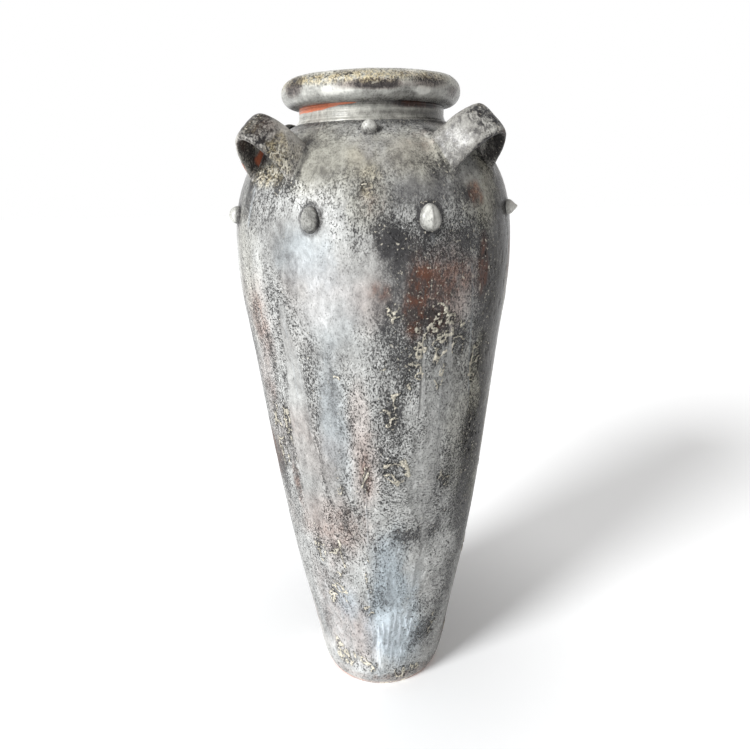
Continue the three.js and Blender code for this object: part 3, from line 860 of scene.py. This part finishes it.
def handle_fields(points, share, turn, look, seed):
    """The strap's tone and marks, with painted shade on its inner face, cracks and crust."""
    fields = surface_fields(points)
    skin = slice(0, share.size)
    wander = fractal(points[skin], 22, seed + 3)
    fields["cover"][:] = look["cover"]
    fields["cover"][skin] += 0.08 * wander + strap_marks(look["tone"], share, turn, wander)
    for field in ("smooth", "pits", "straw", "rust", "clay", "crust", "olive", "warm"):
        fields[field][:] = look["all_over"].get(field, 0)
        fields[field][skin] += strap_marks(look.get(field, ()), share, turn, wander)
    fields["crust"][skin] *= lace(points[skin], seed + 5)
    cracks = lace(points[skin] * 1.4, seed + 6, 0.30) * strap_marks(look["cracks"], share, turn, wander)
    fields["cover"][skin] -= 0.8 * np.clip(cracks, 0, 1)
    return fields


# Studs

def pinched(x, z, name, seed):
    """How far a bead's outer side is drawn out: to a point, to an upright ridge, or hardly at all."""
    if name in POINTED_STUDS:
        return 0.74 + 0.26 * np.exp(-(x ** 2 + (z + 0.1) ** 2) / 0.12)
    if seed % 2:
        return 0.86 + 0.14 * np.exp(-((x + 0.12) / 0.16) ** 2)
    return 1 - 0.10 * np.abs(x)


def stud(name, azimuth, height, size, cover, seed):
    """An egg-shaped bead pressed on, with painted shade and dark wash at its edge and painted shade on its
    right side, away from the light.
    """
    polar = np.linspace(0.02, math.pi - 0.02, STUD_RINGS)[:, None]
    turn = np.linspace(0, 2 * math.pi, STUD_SIDES, endpoint=False)[None]
    x = np.sin(polar) * np.cos(turn)
    z = np.sin(polar) * np.sin(turn)
    y = np.cos(polar) * pinched(x, z, name, seed)
    size = np.array(size) * MM - 0.4 * MM
    height = height * MM
    local = np.stack([x * size[0] * (1 - 0.14 * z), -y * size[1], z * size[2]], -1)
    wobble = 1 + 0.05 * fractal(local + 0.37 * seed, 14, seed, octaves=3)
    local = local * np.minimum(wobble, 1.03)[..., None]
    lean = math.atan2(slope_at(height), 1)
    outward = local[..., 1] * math.cos(lean) - local[..., 2] * math.sin(lean)
    upward = local[..., 1] * math.sin(lean) + local[..., 2] * math.cos(lean)
    grid = np.stack([local[..., 0], outward - radius_at(height), upward + height], -1)
    piece = grid_mesh(name + "_bead", turned_by(grid, azimuth), fill_ends=True)
    points = coordinates(piece)
    fields = surface_fields(points)
    bead = slice(0, x.size)
    # Painted shade and dark wash round the bead's edge, and painted shade on its right side, away from the
    # light.
    edge = ramp(np.hypot(x, z).ravel(), 0.78, 1.0)
    right_side_shade = ramp(x.ravel() + 0.3 * fractal(points[bead], 16, seed + 1, octaves=3), 0.45, 0.95)
    fields["cover"][:] = cover
    fields["cover"][bead] += 0.14 * fractal(points[bead], 14, seed) - 0.22 * edge - 0.22 * right_side_shade
    for field, value in {"smooth": 0.8, "pits": 0.4, "olive": 0.3}.items():
        fields[field][:] = value
    return piece, fields


# Materials

def colour(red, green, blue):
    """Linear colour from sRGB bytes."""
    def linear(value):
        value /= 255
        return value / 12.92 if value <= 0.04045 else ((value + 0.055) / 1.055) ** 2.4
    return (linear(red), linear(green), linear(blue), 1.0)


PAINT = [
    (0.0, colour(22, 21, 23)), (0.25, colour(64, 63, 64)), (0.5, colour(126, 125, 123)),
    (0.75, colour(184, 184, 181)), (1.0, colour(232, 232, 229)),
]
STRAW = [(0.40, colour(112, 96, 74)), (0.5, colour(178, 162, 128)), (0.58, colour(228, 214, 176))]
WARM_TINT, OLIVE_TINT, BLUE_TINT = colour(255, 236, 230), colour(255, 251, 236), colour(232, 244, 255)
RUST, DARK_RUST, RUST_SHADE = colour(160, 92, 50), colour(80, 59, 49), colour(150, 146, 146)
PIT, WARM_PIT = colour(26, 25, 27), colour(42, 30, 29)
GREY_RUN, BLUE_RUN = colour(186, 190, 192), colour(222, 230, 238)
CREAM, DULL_CREAM = colour(246, 241, 226), colour(220, 210, 188)
CLAY, DARK_CLAY = colour(226, 138, 102), colour(196, 108, 78)
FLOOR_WHITE = colour(254, 254, 254)


class Nodes:
    """Short calls for building a node tree."""

    def __init__(self, name):
        self.material = bpy.data.materials.new(name)
        self.material.use_nodes = True
        self.tree = self.material.node_tree
        self.shader = self.tree.nodes["Principled BSDF"]
        self.place = self.new("TexCoord").outputs["Object"]

    def new(self, kind):
        return self.tree.nodes.new("ShaderNode" + kind)

    def link(self, source, socket):
        if isinstance(source, bpy.types.NodeSocket):
            self.tree.links.new(source, socket)
        else:
            socket.default_value = source

    def math(self, operation, *values):
        node = self.new("Math")
        node.operation = operation
        for value, socket in zip(values, node.inputs):
            self.link(value, socket)
        return node.outputs[0]

    def plus(self, a, b):
        return self.math("ADD", a, b)

    def minus(self, a, b):
        return self.math("SUBTRACT", a, b)

    def times(self, a, b):
        return self.math("MULTIPLY", a, b)

    def larger(self, a, b):
        return self.math("MAXIMUM", a, b)

    def scaled(self, value, factor, offset):
        """The value times the factor, plus the offset."""
        return self.math("MULTIPLY_ADD", value, factor, offset)

    def field(self, name):
        node = self.new("Attribute")
        node.attribute_name = name
        return node.outputs["Fac"]

    def noise(self, scale, detail, rough=0.6, distortion=0.0):
        """Noise with this many features in a metre, the same all ways or given for each axis."""
        node = self.new("TexNoise")
        place = self.place
        if isinstance(scale, tuple):
            stretch = self.new("Mapping")
            self.link(place, stretch.inputs["Vector"])
            stretch.inputs["Scale"].default_value = scale
            place, scale = stretch.outputs[0], 1.0
        self.link(place, node.inputs["Vector"])
        settings = {"Scale": scale, "Detail": detail, "Roughness": rough, "Distortion": distortion}
        for socket, value in settings.items():
            node.inputs[socket].default_value = value
        return node.outputs["Fac"]

    def fade(self, amount, a, b):
        """Number a at amount 0 and b at amount 1."""
        node = self.new("Mix")
        for value, socket in zip((amount, a, b), (0, 2, 3)):
            self.link(value, node.inputs[socket])
        return node.outputs[0]

    def blend(self, amount, a, b, kind="MIX"):
        """Colour a at amount 0 and b at amount 1."""
        node = self.new("Mix")
        node.data_type = "RGBA"
        node.blend_type = kind
        for value, socket in zip((amount, a, b), (0, 6, 7)):
            self.link(value, node.inputs[socket])
        return node.outputs[2]

    def tinted(self, amount, base, tint):
        return self.blend(amount, base, tint, "MULTIPLY")

    def shades(self, value, stops):
        """Colour that runs through stops of position and colour as a number goes from 0 to 1."""
        node = self.new("ValToRGB")
        self.link(value, node.inputs["Fac"])
        while len(node.color_ramp.elements) < len(stops):
            node.color_ramp.elements.new(0.5)
        for element, (position, shade) in zip(node.color_ramp.elements, stops):
            element.position = position
            element.color = shade
        return node.outputs["Color"]

    def step(self, value, low, high):
        """0 below low, 1 above high, smooth between."""
        node = self.new("MapRange")
        node.interpolation_type = "SMOOTHSTEP"
        for source, socket in ((value, "Value"), (low, "From Min"), (high, "From Max")):
            self.link(source, node.inputs[socket])
        return node.outputs["Result"]

    def bump(self, height, strength, distance):
        node = self.new("Bump")
        node.inputs["Strength"].default_value = strength
        node.inputs["Distance"].default_value = distance
        self.link(height, node.inputs["Height"])
        return node.outputs[0]


def weathered(name):
    """Grey and pale paint rubbed over dark waxed clay: pitted, speckled, streaked, stained and crusted."""
    n = Nodes(name)
    g = grain_of(n)
    tone = worn_paint(n, g)
    tone, rusty = stained(n, g, tone)
    tone, raised = crusted(n, g, tone)
    n.link(tone, n.shader.inputs["Base Color"])
    wax(n, g, rusty, raised)
    return n.material


def grain_of(n):
    """Fields and noises that the whole finish shares: fine ridges, dashes, mottling, worn spots and holes."""
    g = SimpleNamespace()
    for name in ("cover", "smooth", "warm", "olive", "blue", "pits"):
        setattr(g, name, n.field(name))
    g.coarse = n.scaled(g.smooth, -0.84, 1.0)
    g.fine = n.noise((430, 430, 340), 4.0, 0.8)
    g.middle = n.noise((110, 110, 65), 4.0, 0.6, 0.5)
    upright = n.noise((350, 350, 180), 3.0, 0.7, 0.3)
    level = n.noise((160, 160, 370), 3.0, 0.7, 0.3)
    dashes = n.fade(n.field("flat"), upright, level)
    g.surplus = n.minus(g.cover, FULL_COVER)
    g.crisp = n.step(n.scaled(g.surplus, 0.30, n.fade(0.55, g.fine, dashes)), 0.42, 0.50)
    g.swing = n.times(g.coarse, n.scaled(g.pits, 0.50, 0.24))
    g.holes = n.times(n.step(n.scaled(g.pits, 0.12, dashes), 0.655, 0.695), g.coarse)
    return g


def worn_paint(n, g):
    """Paint with single dark marks where it is full and single pale ones where it is worn."""
    worn = n.minus(g.crisp, n.step(g.surplus, -0.5, 0.3))
    grain = n.times(n.minus(g.fine, 0.5), n.scaled(g.coarse, 0.5, 0.1))
    mottling = n.scaled(g.middle, 0.6, -0.3)
    shade = n.plus(n.scaled(g.swing, worn, g.cover), n.plus(mottling, grain))
    tone = n.tinted(g.warm, n.shades(shade, PAINT), WARM_TINT)
    tone = n.tinted(g.olive, tone, OLIVE_TINT)
    return n.tinted(g.blue, tone, BLUE_TINT)


def stained(n, g, tone):
    """Rust glowing through, and dark holes; also how rusty each spot is."""
    deep = n.step(n.noise((70, 70, 40), 4.0, 0.7), 0.40, 0.60)
    stain = n.tinted(n.minus(1.0, g.crisp), n.blend(deep, RUST, DARK_RUST), RUST_SHADE)
    rusty = n.times(n.field("rust"), n.step(n.noise((120, 120, 50), 4.0, 0.7), 0.24, 0.52))
    tone = n.blend(n.times(rusty, n.scaled(g.crisp, -0.12, 0.88)), tone, stain)
    tone = n.blend(n.times(g.holes, 0.9), tone, n.blend(g.warm, PIT, WARM_PIT))
    return tone, rusty


def crusted(n, g, tone):
    """Straw speckle, thin runs, cream crust and specks, and bare clay; also how far each spot is raised."""
    patchy = n.step(n.fade(0.5, g.fine, g.middle), 0.42, 0.54)
    tone = n.blend(n.times(n.field("straw"), patchy), tone, n.shades(g.fine, STRAW))
    drip = n.field("drip")
    tone = n.blend(drip, tone, n.blend(g.blue, GREY_RUN, BLUE_RUN))
    crusty = n.step(n.scaled(g.fine, 1.4, n.field("crust")), 1.08, 1.24)
    specks = n.scaled(n.larger(g.surplus, -0.22), -0.30, n.noise((260, 260, 220), 1.0, 0.5))
    specks = n.times(n.times(n.step(specks, 0.72, 0.77), 0.7), g.coarse)
    cream = n.blend(n.noise(300, 2.0), CREAM, DULL_CREAM)
    tone = n.blend(n.larger(crusty, specks), tone, cream)
    clay = n.blend(n.noise(240, 3.0), CLAY, DARK_CLAY)
    return n.blend(n.field("clay"), tone, clay), n.larger(crusty, drip)


def wax(n, g, rusty, raised):
    """Waxed gloss, dull in the holes and on rust, and the surface's relief."""
    gloss = n.scaled(g.holes, 0.3, n.scaled(g.smooth, -0.07, 0.22))
    gloss = n.scaled(rusty, 0.12, n.scaled(g.fine, 0.24, gloss))
    n.link(gloss, n.shader.inputs["Roughness"])
    level = n.scaled(g.olive, -0.30, n.scaled(g.holes, -0.2, 0.44))
    n.link(level, n.shader.inputs["Specular IOR Level"])
    flakes = n.times(g.swing, n.times(g.crisp, 3.0))
    relief = n.times(n.scaled(g.middle, 0.6, flakes), g.coarse)
    relief = n.plus(n.scaled(g.holes, -1.2, relief), raised)
    n.link(n.bump(relief, 1.0, 1.4 * MM), n.shader.inputs["Normal"])


# Stage, lights and camera

def seen_directly(tree):
    """1 for what the camera, reflections and clear bodies see, 0 for the light that falls on the object."""
    path = tree.nodes.new("ShaderNodeLightPath").outputs
    seen = path["Is Camera Ray"]
    for other in ("Is Glossy Ray", "Is Transmission Ray"):
        either = tree.nodes.new("ShaderNodeMath")
        either.operation = "MAXIMUM"
        tree.links.new(seen, either.inputs[0])
        tree.links.new(path[other], either.inputs[1])
        seen = either.outputs[0]
    return seen


def stage():
    """White floor, seen a little brighter than the lamps make it, and less so round the foot, which paints a
    contact shadow there.
    """
    side = FLOOR_SIDE
    mesh = bpy.data.meshes.new("floor")
    corners = [(-side, -side, 0), (side, -side, 0), (side, side, 0), (-side, side, 0)]
    mesh.from_pydata(corners, [], [(0, 1, 2, 3)])
    n = Nodes("floor_white")
    n.link(FLOOR_WHITE, n.shader.inputs["Base Color"])
    n.link(0.9, n.shader.inputs["Roughness"])
    n.link(0.0, n.shader.inputs["Specular IOR Level"])
    n.link((1, 1, 1, 1), n.shader.inputs["Emission Color"])
    distance = n.new("VectorMath")
    distance.operation = "LENGTH"
    n.link(n.place, distance.inputs[0])
    # Less lift near the foot: a painted contact shadow.
    lift = n.fade(n.step(distance.outputs["Value"], *FOOT_SHADOW_REACH), *FLOOR_LIFT)
    n.link(n.times(seen_directly(n.tree), lift), n.shader.inputs["Emission Strength"])
    mesh.materials.append(n.material)
    floor = place_in_scene("floor", mesh)


def lamp(name, kind, place, target, power, tint):
    """A lamp at a place, shining at a target."""
    data = bpy.data.lights.new(name, kind)
    data.energy = power
    data.color = tint
    made = place_in_scene(name, data)
    made.location = place
    made.rotation_euler = (Vector(target) - Vector(place)).to_track_quat("-Z", "Y").to_euler()
    return data


def sun(azimuth, elevation, spread, strength, tint):
    """Light from an azimuth and elevation, off a disc that is spread degrees wide."""
    a, e = math.radians(azimuth), math.radians(elevation)
    source = Vector((math.sin(a) * math.cos(e), -math.cos(a) * math.cos(e), math.sin(e)))
    data = lamp("sky", "SUN", source * 3, (0, 0, 0), strength * math.pi, tint)
    data.angle = math.radians(spread)


def window(place, target, size, power, tint):
    """A tall soft panel, for the broad sheen down the lit side."""
    data = lamp("window", "AREA", place, target, power, tint)
    data.shape = "RECTANGLE"
    data.size, data.size_y = size


def world(strength, tint):
    """Even light from all round; the camera sees plain white."""
    made = bpy.data.worlds.new("studio")
    made.use_nodes = True
    tree = made.node_tree
    dim, white = tree.nodes["Background"], tree.nodes.new("ShaderNodeBackground")
    for node, shade, power in ((dim, tint, strength), (white, (1, 1, 1), 1.0)):
        node.inputs["Color"].default_value = (*shade, 1)
        node.inputs["Strength"].default_value = power
    pick = tree.nodes.new("ShaderNodeMixShader")
    tree.links.new(seen_directly(tree), pick.inputs[0])
    tree.links.new(dim.outputs[0], pick.inputs[1])
    tree.links.new(white.outputs[0], pick.inputs[2])
    tree.links.new(pick.outputs[0], tree.nodes["World Output"].inputs["Surface"])
    bpy.context.scene.world = made


def camera():
    data = bpy.data.cameras.new("camera")
    data.sensor_width = SENSOR
    data.lens = SENSOR * FOCAL_PIXELS / PICTURE_SIDE
    data.shift_x = (PICTURE_SIDE / 2 - PRINCIPAL_POINT[0]) / PICTURE_SIDE
    data.shift_y = (PRINCIPAL_POINT[1] - PICTURE_SIDE / 2) / PICTURE_SIDE
    made = place_in_scene("camera", data)
    made.location = (0, -CAMERA_DISTANCE, CAMERA_HEIGHT)
    made.rotation_euler = (math.radians(90 - CAMERA_PITCH), 0, 0)
    made.rotation_euler.rotate_axis("Z", math.radians(CAMERA_ROLL))
    bpy.context.scene.camera = made


camera()
stage()
world(strength=0.31, tint=(1.0, 0.99, 0.98))
sun(azimuth=-50, elevation=30, spread=18, strength=0.93, tint=(0.98, 0.99, 1.0))
window(place=(-2.1, -1.75, 0.95), target=(0, 0, 0.62), size=(0.9, 1.9), power=26, tint=(0.93, 0.97, 1.0))
bpy.context.scene.view_settings.view_transform = "Standard"

finish = weathered("weathered_finish")
install(*body(), ["base_slab", "lower_body", "middle_body", "belly", "shoulder"], "body", finish)
install(*neck(), ["neck_collar"], "neck", finish)
install(*rim(), ["rim_roll"], "rim", finish)
for seed, (name, (azimuth, pull)) in enumerate(HANDLES.items()):
    look = LEFT_LOOK if pull is LEFT_PULL else RIGHT_LOOK
    install(*handle(name, azimuth, pull, look, 200 + 10 * seed), [name], "handle", finish)
for seed, (name, (azimuth, height, size, cover)) in enumerate(STUDS.items()):
    install(*stud(name, azimuth, height, size, cover, 300 + seed), [name], "stud", finish)
